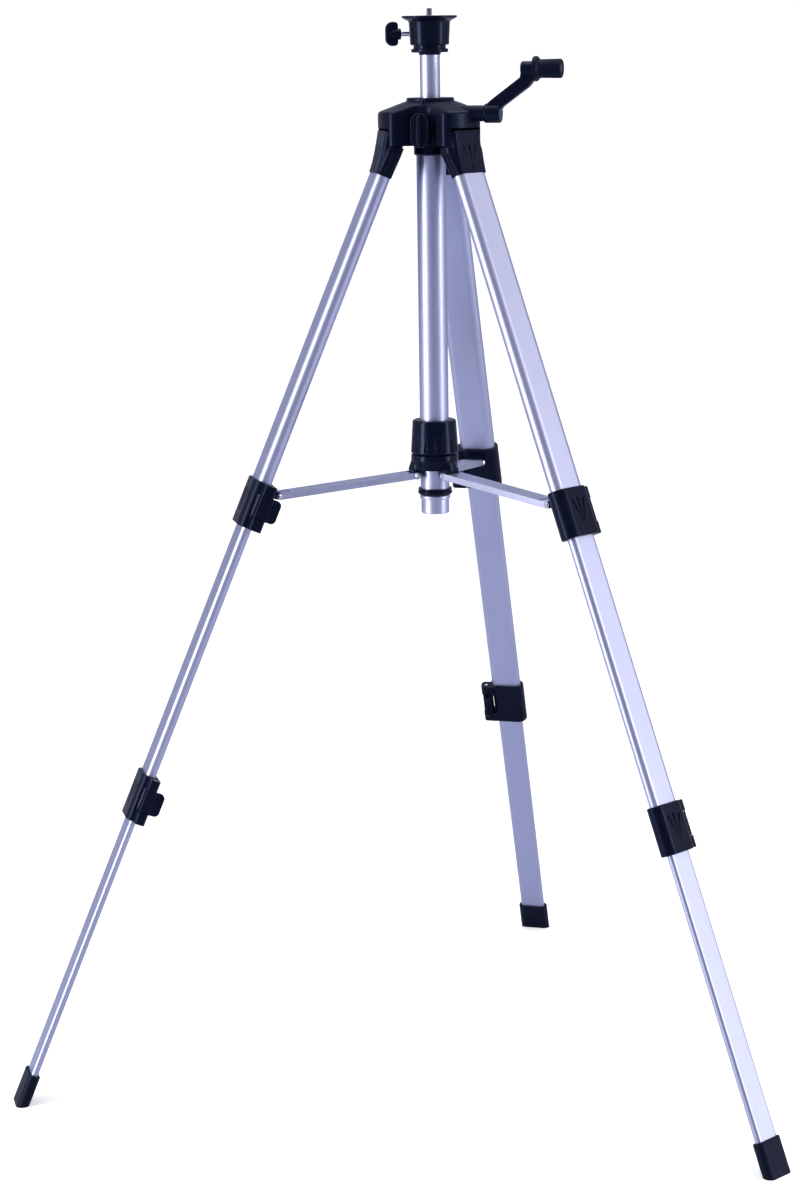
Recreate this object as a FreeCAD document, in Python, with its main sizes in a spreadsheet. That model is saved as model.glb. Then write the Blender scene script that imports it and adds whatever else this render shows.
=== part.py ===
import FreeCAD, Part
import math
import os
import re

import Sketcher

# An elevating surveyor's tripod, in millimetres.
# Origin: on the ground under the column's axis. +Z is up, and the legs stand at the three azimuths below.
# Leg pieces are drawn in a leg frame: origin on the leg's hinge pin, +X out through the leg's broad
# outer face, +Y along the pin and +Z up the leg. Distances "down the leg" are measured from the pin.

DIMENSIONS = (
    # legs as a whole
    ("pivot_reach", 40.7), ("pivot_height", 1070), ("leg_tilt", 23),
    ("right_azimuth", -45), ("rear_azimuth", 75), ("left_azimuth", 195),
    # leg tubes, obround in section
    ("top_wide", 42), ("top_thick", 17), ("top_wall", 1.2),
    ("mid_wide", 36.5), ("mid_thick", 12), ("mid_wall", 1.1),
    ("low_wide", 31), ("low_thick", 8), ("low_wall", 1.0),
    # stations down the leg
    ("socket_end", 45), ("plug_end", 62), ("top_tube_end", 418),
    ("mid_tube_start", 380), ("mid_tube_end", 770.4),
    ("low_tube_start", 735), ("low_tube_end", 1150), ("foot_start", 1124.3), ("foot_cut", 1185),
    ("upper_collar_start", 404.6), ("lower_collar_start", 757.2), ("collar_long", 54),
    # leg socket
    ("socket_wide", 43), ("socket_thick", 18), ("socket_crown", 10), ("crown_edge", 5),
    ("rib_round", 1.1), ("rib_apart", 6), ("rib_start", 20), ("rib_end", 42),
    ("boot_face", 16.8), ("boot_top", 1), ("boot_edge", 5), ("boot_lean", 9.5), ("boot_groove_face", 13.4),
    ("flank_half", 26.4), ("flank_drop", 19), ("flank_edge", 6), ("flank_inner_top", 9),
    ("flank_slope", 17.2),
    # collars and their levers
    ("upper_collar_wide", 49), ("upper_collar_thick", 25),
    ("lower_collar_wide", 43.5), ("lower_collar_thick", 20),
    ("ear_long", 13.4), ("ear_reach", 10), ("ear_face", 2.5), ("ear_root", 7), ("ear_corner", 4.5),
    ("ear_inset", 0.6), ("window_front", 5.2),
    ("lever_sink", 1.6), ("lever_axis_in", 4), ("lever_axis_up", 3.6), ("lever_pin_round", 1.6),
    ("tab_reach", 11.6), ("tab_low", 0.5), ("tab_high", 5.0), ("tab_corner", 5.5), ("tab_droop", 0.9),
    ("barrel_edge", 2.6), ("lever_inset", 2.6),
    ("lug_station", 414), ("lug_in", 23.3), ("lug_wide", 18), ("lug_round", 3.8),
    # grooves moulded in collars and sockets
    ("groove_long", 27), ("groove_round", 1.7), ("groove_tip", 0.35), ("groove_spread", 9),
    ("groove_fan", 17), ("groove_rise", 1.5), ("socket_groove_top", 16), ("collar_groove_top", 13),
    # feet
    ("foot_wide", 37.5), ("foot_thick", 14),
    # spreader
    ("hub_reach", 23), ("hub_height", 695), ("arm_long", 158.74), ("arm_slope", 5.49),
    ("arm_wide", 24), ("arm_high", 7), ("arm_wall", 1.2), ("arm_web_cut", 12.8), ("arm_hub_cut", 7.5),
    ("hub_top", 718), ("hub_bottom", 701), ("hub_round", 26.7), ("flare_reach", 16), ("flare_low", 14.5),
    ("flare_high", 11.5), ("flare_long", 9), ("lug_half", 10), ("hub_nose_round", 4.5),
    ("collet_round", 18.4), ("collet_long", 16),
    ("rivet_round", 1.7), ("rivet_head", 3.0), ("rivet_dome", 1.3),
    ("nut_low", 718.6), ("nut_high", 756.5), ("nut_low_round", 26.7), ("nut_high_round", 24.6),
    ("nut_bore", 18.6), ("nut_gap", 0.35), ("flute_count", 16), ("flute_round", 2.1), ("flute_tip", 0.7),
    ("flute_long", 21), ("flute_start", 4.5),
    # column and pole
    ("column_round", 16.25), ("column_wall", 1.2), ("column_low", 671), ("column_high", 1082),
    ("plug_bore", 12.4), ("plug_round", 15.7), ("plug_rim", 17.1), ("plug_drop", 20.4), ("plug_rise", 18),
    ("stop_round", 19.35), ("stop_seat", 17.4), ("stop_waist", 18.2), ("stop_top", 19), ("stop_high", 8),
    ("pole_round", 11), ("pole_wall", 1.5), ("pole_low", 700), ("pole_high", 1190),
    ("rack_wide", 6), ("rack_back", 8.6), ("rack_root", 9.75), ("rack_tip", 11.8),
    ("rack_low", 805), ("rack_high", 1104),
    ("gear_module", 1), ("pinion_teeth", 14), ("pressure_angle", 20), ("backlash", 0.12),
    ("pinion_wide", 5.6),
    # head housing
    ("head_low", 1061), ("head_round", 58), ("dome_rim", 66), ("dome_rim_high", 1094), ("head_ring", 26.2),
    ("ring_low", 1109), ("head_high", 1112), ("lobe_half", 28), ("waist_round", 37),
    ("lobe_corner", 10), ("waist_blend", 17), ("dome_edge", 4),
    ("pocket_half", 22.4), ("pocket_reach", 24), ("pocket_roof", 1086), ("skirt_wall", 5),
    ("skirt_low", 1080), ("neck_low", 1049.6), ("neck_round", 18.8), ("neck_lip", 1.6),
    ("pin_round", 3), ("pin_seat", 3), ("stop_boss_round", 3.4), ("stop_boss_out", 30.5),
    ("stop_boss_low", 1101), ("stop_boss_high", 1110.5),
    # crank
    ("crank_azimuth", -15), ("crank_offset", 18), ("crank_height", 1095), ("crank_shaft_round", 3.5),
    ("crank_neck_round", 8.7), ("crank_neck_end", 65.6), ("crank_hub_start", 66), ("crank_hub_end", 84),
    ("crank_hub_round", 10.5), ("crank_throw", 47), ("crank_eye_start", 107), ("crank_eye_end", 120),
    ("crank_arm_wide", 13), ("crank_eye_round", 8.2), ("crank_inside", 14),
    ("grip_start", 120.4), ("grip_flange_end", 128), ("grip_end", 152),
    ("grip_round", 10.4), ("grip_flange", 13.5), ("grip_bolt_round", 3), ("grip_recess", 7),
    ("grip_recess_deep", 3), ("bolt_head_round", 5.4), ("bolt_head_high", 2),
    ("grip_flute_round", 0.9), ("grip_flute_count", 20),
    # pole lock
    ("lock_azimuth", 255), ("lock_height", 1078), ("lock_stud_round", 3), ("lock_stud_in", 12.6),
    ("lock_plate_in", 45), ("lock_plate_out", 49.5), ("lock_blade_out", 56),
    ("lock_wide", 20), ("lock_high", 37), ("lock_corner", 9), ("lock_blade_thick", 3),
    ("lock_boss_round", 7.5), ("lock_boss_long", 7.5),
    # platform
    ("flange_round", 30.3), ("flange_high", 1200), ("flange_edge", 1198), ("body_top", 1194.6),
    ("body_top_round", 22.6), ("body_low", 1168.5), ("body_low_round", 21.3), ("groove_in", 17.8),
    ("groove_low", 1164.6), ("ring_bottom", 1160.6), ("ring_round", 20.3), ("cone_low", 1158),
    ("cone_round", 12.5),
    ("screw_round", 3.175), ("screw_low", 1200.4), ("screw_high", 1208.2), ("screw_neck", 2.7),
    ("shank_round", 3.8),
    ("knob_azimuth", 187), ("knob_height", 1180.6), ("knob_shaft_round", 2.5), ("knob_shaft_in", 11.6),
    ("knob_in", 31.5), ("knob_out", 48.6), ("knob_high", 28), ("knob_thick", 6.4), ("knob_hub_round", 6),
    # clearances
    ("run_gap", 0.05), ("fixed_gap", 0.02), ("slide_gap", 0.15), ("side_gap", 0.3),
)

document = FreeCAD.newDocument("surveyor_tripod")
sheet = document.addObject("Spreadsheet::Sheet", "Dims")
for row, (alias, number) in enumerate(DIMENSIONS, start=1):
    sheet.set("A%d" % row, alias)
    sheet.set("B%d" % row, str(number))
    sheet.setAlias("B%d" % row, alias)
document.recompute()

ALIASES = set(alias for alias, number in DIMENSIONS)
LEGS = ("right", "rear", "left")
UP = FreeCAD.Vector(0, 0, 1)
EAST = FreeCAD.Vector(1, 0, 0)
NORTH = FreeCAD.Vector(0, 1, 0)
nodes = {}


# ---------------------------------------------------------------- expressions and placements

def linked(text):
    """The text of an expression, with each bare alias pointed at the spreadsheet."""
    return re.sub(r"[a-z][a-z_]*", lambda m: "Dims." + m.group() if m.group() in ALIASES else m.group(),
                  str(text))


def size(text):
    """The number that an expression of aliases gives."""
    return float(sheet.evalExpression(linked(text)))


def bind(item, **expressions):
    for name, text in expressions.items():
        item.setExpression(name.replace("__", "."), linked(text))
    return item


def turned(axis, degrees):
    return FreeCAD.Placement(FreeCAD.Vector(), FreeCAD.Rotation(axis, degrees))


def shifted(x, y, z):
    return FreeCAD.Placement(FreeCAD.Vector(x, y, z), FreeCAD.Rotation())


def leg_place(leg):
    """From the leg frame to the tripod's frame."""
    return (turned(UP, size(leg + "_azimuth")) * shifted(size("pivot_reach"), 0, size("pivot_height"))
            * turned(NORTH, -size("leg_tilt")))


def arm_place(leg):
    """From a brace arm's frame, origin on its inner rivet and +X along the arm, to the tripod's."""
    return (turned(UP, size(leg + "_azimuth")) * shifted(size("hub_reach"), 0, size("hub_height"))
            * turned(NORTH, size("arm_slope")))


def crank_place():
    """From the crank frame, +Z out along the shaft and +X up, to the tripod's frame."""
    out = size("crank_offset")
    angle = math.radians(size("lock_azimuth"))
    along = math.radians(size("crank_azimuth"))
    shaft = FreeCAD.Vector(math.cos(along), math.sin(along), 0)
    rotation = FreeCAD.Rotation(UP, UP.cross(shaft), shaft, "ZXY")
    base = FreeCAD.Vector(out * math.cos(angle), out * math.sin(angle), size("crank_height"))
    return FreeCAD.Placement(base, rotation)


def radial_place(azimuth, height):
    """From a frame whose +Z points out along an azimuth and whose +X points up, to the tripod's."""
    angle = math.radians(size(azimuth))
    outward = FreeCAD.Vector(math.cos(angle), math.sin(angle), 0)
    rotation = FreeCAD.Rotation(UP, UP.cross(outward), outward, "ZXY")
    return FreeCAD.Placement(FreeCAD.Vector(0, 0, size(height)), rotation)


def keep(item, node, placement=None):
    """Names a finished sub-part and puts it in place."""
    item.Label = node
    if placement is not None:
        item.Placement = placement
    nodes[node] = item
    return item


# ---------------------------------------------------------------- Part primitives and booleans

def cylinder(name, radius, length, placement=None, lift="0"):
    item = document.addObject("Part::Cylinder", name)
    bind(item, Radius=radius, Height=length)
    item.Placement = (placement or FreeCAD.Placement()) * shifted(0, 0, size(lift))
    return item


def cone(name, low_radius, high_radius, length, placement):
    item = document.addObject("Part::Cone", name)
    bind(item, Radius1=low_radius, Radius2=high_radius, Height=length)
    item.Placement = placement
    return item


def block(name, low, high, placement=None):
    """A box from a low corner to a high corner, each three expressions."""
    item = document.addObject("Part::Box", name)
    spans = ["(%s)-(%s)" % (b, a) for a, b in zip(low, high)]
    bind(item, Length=spans[0], Width=spans[1], Height=spans[2])
    item.Placement = (placement or FreeCAD.Placement()) * shifted(*[size(a) for a in low])
    return item


def fused(name, *pieces):
    item = document.addObject("Part::MultiFuse", name)
    item.Shapes = list(pieces)
    item.Refine = True
    return item


def cut(name, base, *tools):
    item = document.addObject("Part::Cut", name)
    item.Base = base
    item.Tool = tools[0] if len(tools) == 1 else fused(name + "_tools", *tools)
    return item


def common(name, one, other):
    item = document.addObject("Part::Common", name)
    item.Base = one
    item.Tool = other
    return item


def group(name, *pieces):
    item = document.addObject("Part::Compound", name)
    item.Links = list(pieces)
    return item


# ---------------------------------------------------------------- PartDesign bodies

def body(name):
    return document.addObject("PartDesign::Body", name)


def sketch(owner, role, offset=None):
    """A sketch on one of the body's own origin planes, lifted by an expression if one is given."""
    item = owner.newObject("Sketcher::SketchObject", owner.Name + "_sketch")
    plane = [f for f in owner.Origin.OriginFeatures if f.Role == role][0]
    item.AttachmentSupport = [(plane, "")]
    item.MapMode = "FlatFace"
    if offset is not None:
        bind(item, AttachmentOffset__Base__z=offset)
    return item


def polygon(target, corners):
    """A closed outline whose corners are pairs of expressions, each held by two driving distances."""
    points = [FreeCAD.Vector(size(x), size(y), 0) for x, y in corners]
    first = target.GeometryCount
    count = len(points)
    for i in range(count):
        target.addGeometry(Part.LineSegment(points[i], points[(i + 1) % count]))
    for i in range(count):
        target.addConstraint(Sketcher.Constraint("Coincident", first + i, 2, first + (i + 1) % count, 1))
    for i, corner in enumerate(corners):
        for kind, text in zip(("DistanceX", "DistanceY"), corner):
            index = target.addConstraint(Sketcher.Constraint(kind, -1, 1, first + i, 1, size(text)))
            target.setExpression("Constraints[%d]" % index, linked(text))


def obround(target, wide, thick):
    """Two straight sides and two round ends, centred on the origin, long along the sketch's Y."""
    radius = size(thick) / 2
    centre = size(wide) / 2 - radius
    point = FreeCAD.Vector
    first = target.GeometryCount
    target.addGeometry(Part.LineSegment(point(radius, -centre, 0), point(radius, centre, 0)))
    target.addGeometry(Part.ArcOfCircle(Part.Circle(point(0, centre, 0), UP, radius), 0, math.pi))
    target.addGeometry(Part.LineSegment(point(-radius, centre, 0), point(-radius, -centre, 0)))
    target.addGeometry(Part.ArcOfCircle(Part.Circle(point(0, -centre, 0), UP, radius), math.pi, 2 * math.pi))
    for i in range(4):
        target.addConstraint(Sketcher.Constraint("Tangent", first + i, 2, first + (i + 1) % 4, 1))
    target.addConstraint(Sketcher.Constraint("Symmetric", first + 1, 3, first + 3, 3, -1, 1))
    target.addConstraint(Sketcher.Constraint("Vertical", first))
    index = target.addConstraint(Sketcher.Constraint("Radius", first + 1, radius))
    target.setExpression("Constraints[%d]" % index, linked("(%s)/2" % thick))
    index = target.addConstraint(Sketcher.Constraint("DistanceY", first + 3, 3, first + 1, 3, 2 * centre))
    target.setExpression("Constraints[%d]" % index, linked("(%s)-(%s)" % (wide, thick)))


def pad(owner, profile, length, middle=False):
    item = owner.newObject("PartDesign::Pad", owner.Name + "_pad")
    item.Profile = profile
    bind(item, Length=length)
    item.Midplane = middle
    return item


def pocket(owner, profile, length, middle=False):
    item = owner.newObject("PartDesign::Pocket", owner.Name + "_pocket")
    item.Profile = profile
    bind(item, Length=length)
    item.Midplane = middle
    return item


def turn(name, corners):
    """A body turned about Z from an outline of (radius, height) corners."""
    owner = body(name)
    profile = sketch(owner, "XZ_Plane")
    polygon(profile, corners)
    item = owner.newObject("PartDesign::Revolution", name + "_revolution")
    item.Profile = profile
    item.ReferenceAxis = (profile, ["V_Axis"])
    item.Angle = 360
    return owner


def rounded(owner, radius, wanted):
    """Rounds the edges of the body's last feature that the test picks."""
    document.recompute()
    base = owner.Tip
    names = ["Edge%d" % (i + 1) for i, edge in enumerate(base.Shape.Edges) if wanted(edge)]
    item = owner.newObject("PartDesign::Fillet", owner.Name + "_fillet")
    item.Base = (base, names)
    item.Radius = radius
    document.recompute()
    return item


def runs_along(edge, axis):
    """True for a straight edge parallel to an axis."""
    return isinstance(edge.Curve, Part.Line) and abs(edge.Curve.Direction.dot(axis)) > 0.999


def across_leg(edge):
    """True for an edge that lies in one plane across the leg."""
    return edge.BoundBox.ZLength < 0.01


def obround_bar(name, wide, thick, start, end, hollow=None):
    """A straight bar between two stations down the leg, hollow if an inside size is given."""
    owner = body(name)
    profile = sketch(owner, "XY_Plane", "-(%s)" % end)
    obround(profile, wide, thick)
    if hollow is not None:
        obround(profile, *hollow)
    pad(owner, profile, "(%s)-(%s)" % (end, start))
    return owner


def prism(name, role, corners, length, offset=None, middle=False):
    owner = body(name)
    profile = sketch(owner, role, offset)
    polygon(profile, corners)
    pad(owner, profile, length, middle)
    return owner


# ---------------------------------------------------------------- legs

def leg_tubes(leg):
    place = leg_place(leg)
    stages = (("upper_tube", "top", "socket_end+fixed_gap", "top_tube_end"),
              ("middle_tube", "mid", "mid_tube_start", "mid_tube_end"),
              ("lower_tube", "low", "low_tube_start", "low_tube_end"))
    for node, stage, start, end in stages:
        wide, thick, wall = stage + "_wide", stage + "_thick", stage + "_wall"
        inside = ("%s-2*%s" % (wide, wall), "%s-2*%s" % (thick, wall))
        tube = obround_bar("%s_%s" % (node, leg), wide, thick, start, end, inside)
        keep(tube, "%s_%s" % (node, leg), place)


def groove_fan(name, face, top_station, lean="0"):
    """Three tapered cutters that fan out upwards on the outer face of a moulding."""
    cutters = []
    for side in (-1, 0, 1):
        down = size(top_station) - (0 if side else size("groove_rise"))
        place = (shifted(size(face), side * size("groove_spread"), -down) * turned(NORTH, size(lean))
                 * turned(EAST, 180 - side * size("groove_fan")))
        cutters.append(cone("%s_groove" % name, "groove_round", "groove_tip", "groove_long", place))
    return cutters


def side_ribs(name):
    """Cutters for the pairs of long hollows that leave ribs down a socket's narrow sides."""
    cutters = []
    slant = math.degrees(math.atan(size("(flank_half-socket_wide/2)/(socket_end-flank_drop)")))
    for side in (-1, 1):
        for offset in (-0.5, 0.5):
            place = (shifted(offset * size("rib_apart"), side * size("socket_wide/2+0.6"), -size("rib_end"))
                     * turned(EAST, -side * slant))
            cutters.append(cylinder(name + "_rib", "rib_round", "rib_end-rib_start", place))
    return cutters


def socket_boot(name):
    """The thick outer wall that fills the head's mouth, flush with its skirt, and thins down the leg."""
    boot = prism(name + "_boot", "XZ_Plane",
                 (("0", "-socket_end+0.5"), ("socket_thick/2", "-socket_end+0.5"),
                  ("socket_thick/2+0.9", "-socket_end+12"), ("socket_thick/2+2.9", "-socket_end+24"),
                  ("socket_thick/2+5.3", "boot_top-10.5"), ("boot_face", "boot_top"),
                  ("boot_face-4", "boot_top+2.5"), ("0", "boot_top+2.5")), "socket_wide-0.4", middle=True)
    side = size("(socket_wide-0.4)/2")
    inside = size("socket_thick/2") - 1
    rounded(boot, size("boot_edge"),
            lambda e: abs(abs(e.CenterOfMass.y) - side) < 0.01 and e.CenterOfMass.x > inside)
    return boot


def socket_flanks(name):
    """Shoulders that stand out under the head's cheeks and taper in to the tube."""
    wide = prism(name + "_flank", "YZ_Plane",
                 (("-socket_wide/2+0.1", "-socket_end+0.5"), ("socket_wide/2-0.1", "-socket_end+0.5"),
                  ("flank_half", "-flank_drop"), ("flank_half", "-flank_inner_top"),
                  ("-flank_half", "-flank_inner_top"), ("-flank_half", "-flank_drop")),
                 "socket_thick", middle=True)
    face = size("socket_thick/2")
    inside = size("socket_wide/2") - 1
    rounded(wide, size("flank_edge"),
            lambda e: abs(abs(e.CenterOfMass.x) - face) < 0.01 and abs(e.CenterOfMass.y) > inside)
    top = shifted(-size("socket_thick/2"), 0, -size("flank_inner_top")) * turned(NORTH, size("flank_slope"))
    above = block(name + "_flank_top", ("-20", "-40", "0"), ("60", "40", "60"), top)
    return cut(name + "_shoulders", wide, above)


def leg_socket(leg):
    """The moulding that plugs into the upper tube and hinges in the head."""
    name = "leg_socket_" + leg
    shell = obround_bar(name + "_shell", "socket_wide", "socket_thick", "-socket_crown", "socket_end")
    crown = size("socket_crown")
    rounded(shell, 1.0, lambda e: across_leg(e) and e.CenterOfMass.z < crown - 1)
    rounded(shell, size("crown_edge"), lambda e: across_leg(e) and e.CenterOfMass.z > crown - 0.1)
    plug = obround_bar(name + "_plug", "top_wide-2*top_wall-2*fixed_gap",
                       "top_thick-2*top_wall-2*fixed_gap", "socket_end-1", "plug_end")
    solid = fused(name + "_solid", shell, plug, socket_boot(name), socket_flanks(name))
    pin_hole = cylinder(name + "_hole", "pin_round+run_gap", "socket_wide+4", turned(EAST, -90),
                        "-socket_wide/2-2")
    grooves = groove_fan(name, "boot_groove_face", "socket_groove_top", "boot_lean")
    keep(cut(name, solid, pin_hole, *grooves, *side_ribs(name)), name, leg_place(leg))


def collar(leg, level, start, outer, upper_bore, lower_bore):
    """A clamp collar: it grips the tube above, guides the tube below and carries the lever's ears."""
    node = "%s_collar_%s" % (level, leg)
    wide, thick = outer
    end = "%s+collar_long" % start
    shell = obround_bar(node + "_shell", wide, thick, start, end)
    rounded(shell, 1.6, across_leg)
    ears = prism(node + "_ears", "XY_Plane",
                 (("-(%s)/2" % thick, "%s/2-ear_root" % wide), ("ear_face", "%s/2-ear_root" % wide),
                  ("ear_face", "%s/2+ear_reach" % wide), ("-(%s)/2" % thick, "%s/2+ear_reach" % wide)),
                 "collar_long-2*ear_inset", "-(%s)+ear_inset" % end)
    tip = size("%s/2+ear_reach" % wide)
    rounded(ears, size("ear_corner"), lambda e: runs_along(e, UP) and abs(e.CenterOfMass.y - tip) < 0.1)
    solids = [shell, ears]
    if level == "upper":
        solids.append(brace_lug(node, thick))
    solid = fused(node + "_solid", *solids)
    seat = obround_bar(node + "_seat", "%s_wide+2*fixed_gap" % upper_bore,
                       "%s_thick+2*fixed_gap" % upper_bore, "%s-1" % start, "%s+ear_long+fixed_gap" % start)
    guide = obround_bar(node + "_guide", "%s_wide+2*slide_gap" % lower_bore,
                        "%s_thick+2*slide_gap" % lower_bore, "%s-1" % start, "%s+1" % end)
    window = block(node + "_window",
                   ("-(%s)/2-2" % thick, "%s_wide/2-2.5" % lower_bore, "-(%s)+ear_long" % end),
                   ("window_front", "%s/2+ear_reach+2" % wide, "-(%s)-ear_long" % start))
    hole = cylinder(node + "_hole", "lever_pin_round", "collar_long+4",
                    shifted(-size("lever_axis_in"), size("%s/2+lever_axis_up" % wide), -size(end) - 2))
    grooves = groove_fan(node, "%s/2" % thick, "%s+collar_groove_top" % start)
    keep(cut(node, solid, seat, guide, window, hole, *grooves), node, leg_place(leg))


def brace_lug(node, thick):
    """The finger on the collar's inner face that a brace arm's outer end straddles."""
    lug = body(node + "_lug")
    profile = sketch(lug, "XZ_Plane")
    root = "-(%s)/2+1.5" % thick
    polygon(profile, (("-lug_in", "-lug_station-lug_round"), (root, "-lug_station-lug_round-2"),
                      (root, "-lug_station+lug_round"), ("-lug_in", "-lug_station+lug_round")))
    pad(lug, profile, "lug_wide", middle=True)
    nose = cylinder(node + "_nose", "lug_round", "lug_wide",
                    shifted(-size("lug_in"), 0, -size("lug_station")) * turned(EAST, -90), "-lug_wide/2")
    return fused(node + "_finger", lug, nose)


def lever(leg, level, start, outer):
    """The quick clamp: a barrel between the collar's ears with a thumb tab towards the column."""
    node = "%s_lever_%s" % (level, leg)
    wide, thick = outer
    inner = "-(%s)/2+0.2" % thick
    front = "ear_face-ear_inset"
    crest = "%s/2+ear_reach-lever_sink" % wide
    root = "%s/2-lever_inset" % wide
    tab_end = "-(%s)/2-tab_reach" % thick
    tab_root = inner + "-1.5"
    owner = prism(node, "XY_Plane",
                  ((front, root), (front, crest), (inner, crest), (tab_root, "%s/2+tab_high+0.6" % wide),
                   (tab_end, "%s/2+tab_high-tab_droop" % wide), (tab_end, "%s/2+tab_low-tab_droop" % wide),
                   (tab_root, "%s/2+tab_low" % wide), (inner, root)),
                  "collar_long-2*ear_long-2*side_gap", "-(%s+collar_long)+ear_long+side_gap" % start)
    end_x = size(tab_end)
    rounded(owner, size("tab_corner"), lambda e: runs_along(e, NORTH) and abs(e.CenterOfMass.x - end_x) < 0.1)
    barrel_x = size(inner)
    rounded(owner, size("barrel_edge"), lambda e: runs_along(e, UP) and e.CenterOfMass.x > barrel_x - 0.1)
    bore = sketch(owner, "XY_Plane", "-(%s+collar_long)+ear_long" % start)
    centre = FreeCAD.Vector(-size("lever_axis_in"), size("%s/2+lever_axis_up" % wide), 0)
    bore.addGeometry(Part.Circle(centre, UP, size("lever_pin_round+run_gap")))
    index = bore.addConstraint(Sketcher.Constraint("Radius", 0, size("lever_pin_round+run_gap")))
    bore.setExpression("Constraints[%d]" % index, linked("lever_pin_round+run_gap"))
    hole = pocket(owner, bore, "collar_long-2*ear_long")
    hole.Reversed = True
    keep(owner, node, leg_place(leg))
    pin_node = "%s_lever_pin_%s" % (level, leg)
    pin = cylinder(pin_node, "lever_pin_round-fixed_gap", "collar_long-2*ear_inset",
                   shifted(centre.x, centre.y, -size("%s+collar_long-ear_inset" % start)))
    keep(pin, pin_node, leg_place(leg) * pin.Placement)


def foot(leg):
    """A rubber cap on the lower tube, cut level with the ground."""
    node = "foot_" + leg
    shell = obround_bar(node + "_shell", "foot_wide", "foot_thick", "foot_start", "foot_cut")
    rounded(shell, 1.6, across_leg)
    bore = obround_bar(node + "_bore", "low_wide+2*fixed_gap", "low_thick+2*fixed_gap", "foot_start-1",
                       "low_tube_end+fixed_gap")
    reach = size("pivot_reach") + size("pivot_height") * math.tan(math.radians(size("leg_tilt")))
    sole_place = leg_place(leg).inverse() * turned(UP, size(leg + "_azimuth")) * shifted(reach, 0, 0)
    ground = block(node + "_ground", ("-60", "-60", "-80"), ("60", "60", "0"), sole_place)
    keep(cut(node, shell, bore, ground), node, leg_place(leg))


def legs():
    upper = ("upper_collar_wide", "upper_collar_thick")
    lower = ("lower_collar_wide", "lower_collar_thick")
    for leg in LEGS:
        leg_tubes(leg)
        leg_socket(leg)
        collar(leg, "upper", "upper_collar_start", upper, "top", "mid")
        lever(leg, "upper", "upper_collar_start", upper)
        collar(leg, "lower", "lower_collar_start", lower, "mid", "low")
        lever(leg, "lower", "lower_collar_start", lower)
        foot(leg)


# ---------------------------------------------------------------- spreader

def brace_arm(leg):
    """A channel, open below, whose ears straddle a lug at each end."""
    node = "brace_arm_" + leg
    bar = body(node + "_bar")
    profile = sketch(bar, "XZ_Plane")
    half = "arm_high/2"
    polygon(profile, (("0", "-" + half), ("arm_long", "-" + half), ("arm_long", half), ("0", half)))
    pad(bar, profile, "arm_wide", middle=True)
    across = turned(EAST, -90)
    ends = [cylinder(node + "_end", half, "arm_wide", shifted(x, 0, 0) * across, "-arm_wide/2")
            for x in (0, size("arm_long"))]
    solid = fused(node + "_solid", bar, *ends)
    trough = block(node + "_trough", ("-10", "-arm_wide/2+arm_wall", "-arm_high"),
                   ("arm_long+10", "arm_wide/2-arm_wall", "arm_high/2-arm_wall"))
    inner = block(node + "_inner", ("-10", "-arm_wide/2+arm_wall", "0"),
                  ("arm_hub_cut", "arm_wide/2-arm_wall", "arm_high"))
    outer = block(node + "_outer", ("arm_long-arm_web_cut", "-arm_wide/2+arm_wall", "0"),
                  ("arm_long+10", "arm_wide/2-arm_wall", "arm_high"))
    holes = [cylinder(node + "_hole", "rivet_round+run_gap", "arm_wide+4", shifted(x, 0, 0) * across,
                      "-arm_wide/2-2") for x in (0, size("arm_long"))]
    keep(cut(node, solid, trough, inner, outer, *holes), node, arm_place(leg))
    rivet_node = "brace_rivets_" + leg
    rivets = [rivet_stub("%s_stub" % rivet_node, side, shifted(size("arm_long"), 0, 0)) for side in (-1, 1)]
    keep(group(rivet_node, *rivets), rivet_node, arm_place(leg))


def rivet_stub(name, side, place):
    """One side of the outer rivet: a shank through the ear and a domed head outside it."""
    facing = place * turned(EAST, -90 * side)
    shank = cylinder(name + "_shank", "rivet_round", "arm_wall+0.1", facing, "arm_wide/2-arm_wall")
    head = cone(name + "_head", "rivet_head", "rivet_head*0.55", "rivet_dome",
                facing * shifted(0, 0, size("arm_wide/2+run_gap")))
    return fused(name, shank, head)


def spreader():
    """The hub that slides on the column: a sleeve with a collet above and three lugs below."""
    bore = "column_round+slide_gap"
    hub = turn("hub_shell", ((bore, "hub_bottom"), ("hub_round-1.2", "hub_bottom"),
                             ("hub_round-0.6", "hub_bottom+6"), ("hub_round", "hub_bottom+11"),
                             ("hub_round-0.4", "hub_top-1"), ("hub_round-1.6", "hub_top"),
                             ("collet_round", "hub_top"), ("collet_round", "hub_top+collet_long"),
                             (bore, "hub_top+collet_long")))
    additions, removals, rivets = [], [], []
    for leg in LEGS:
        around = turned(UP, size(leg + "_azimuth"))
        additions.append(cone("hub_flare", "flare_low", "flare_high", "flare_long",
                              around * shifted(size("flare_reach"), 0, size("hub_bottom"))))
        additions.append(block("hub_lug", ("collet_round", "-lug_half", "hub_height-0.6"),
                               ("hub_reach+hub_nose_round", "lug_half", "hub_bottom+2"), around))
        across = around * shifted(size("hub_reach"), 0, size("hub_height")) * turned(EAST, -90)
        additions.append(cylinder("hub_nose", "hub_nose_round", "2*lug_half", across, "-lug_half"))
        removals.append(cylinder("hub_rivet_hole", "rivet_round+fixed_gap", "3*lug_half", across,
                                 "-1.5*lug_half"))
        shank = cylinder("hub_shank", "rivet_round", "arm_wide+0.2", across, "-arm_wide/2-0.1")
        outside = shifted(0, 0, size("arm_wide/2+run_gap"))
        heads = [cone("hub_head", "rivet_head", "rivet_head*0.55", "rivet_dome",
                      across * turned(EAST, flip) * outside) for flip in (0, 180)]
        rivets.append(fused("hub_rivet", shank, *heads))
    removals.append(cylinder("hub_bore", bore, "hub_top-hub_bottom+60", None, "hub_bottom-20"))
    keep(cut("spreader_hub", fused("hub_solid", hub, *additions), *removals), "spreader_hub")
    keep(group("hub_rivets", *rivets), "hub_rivets")


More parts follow.
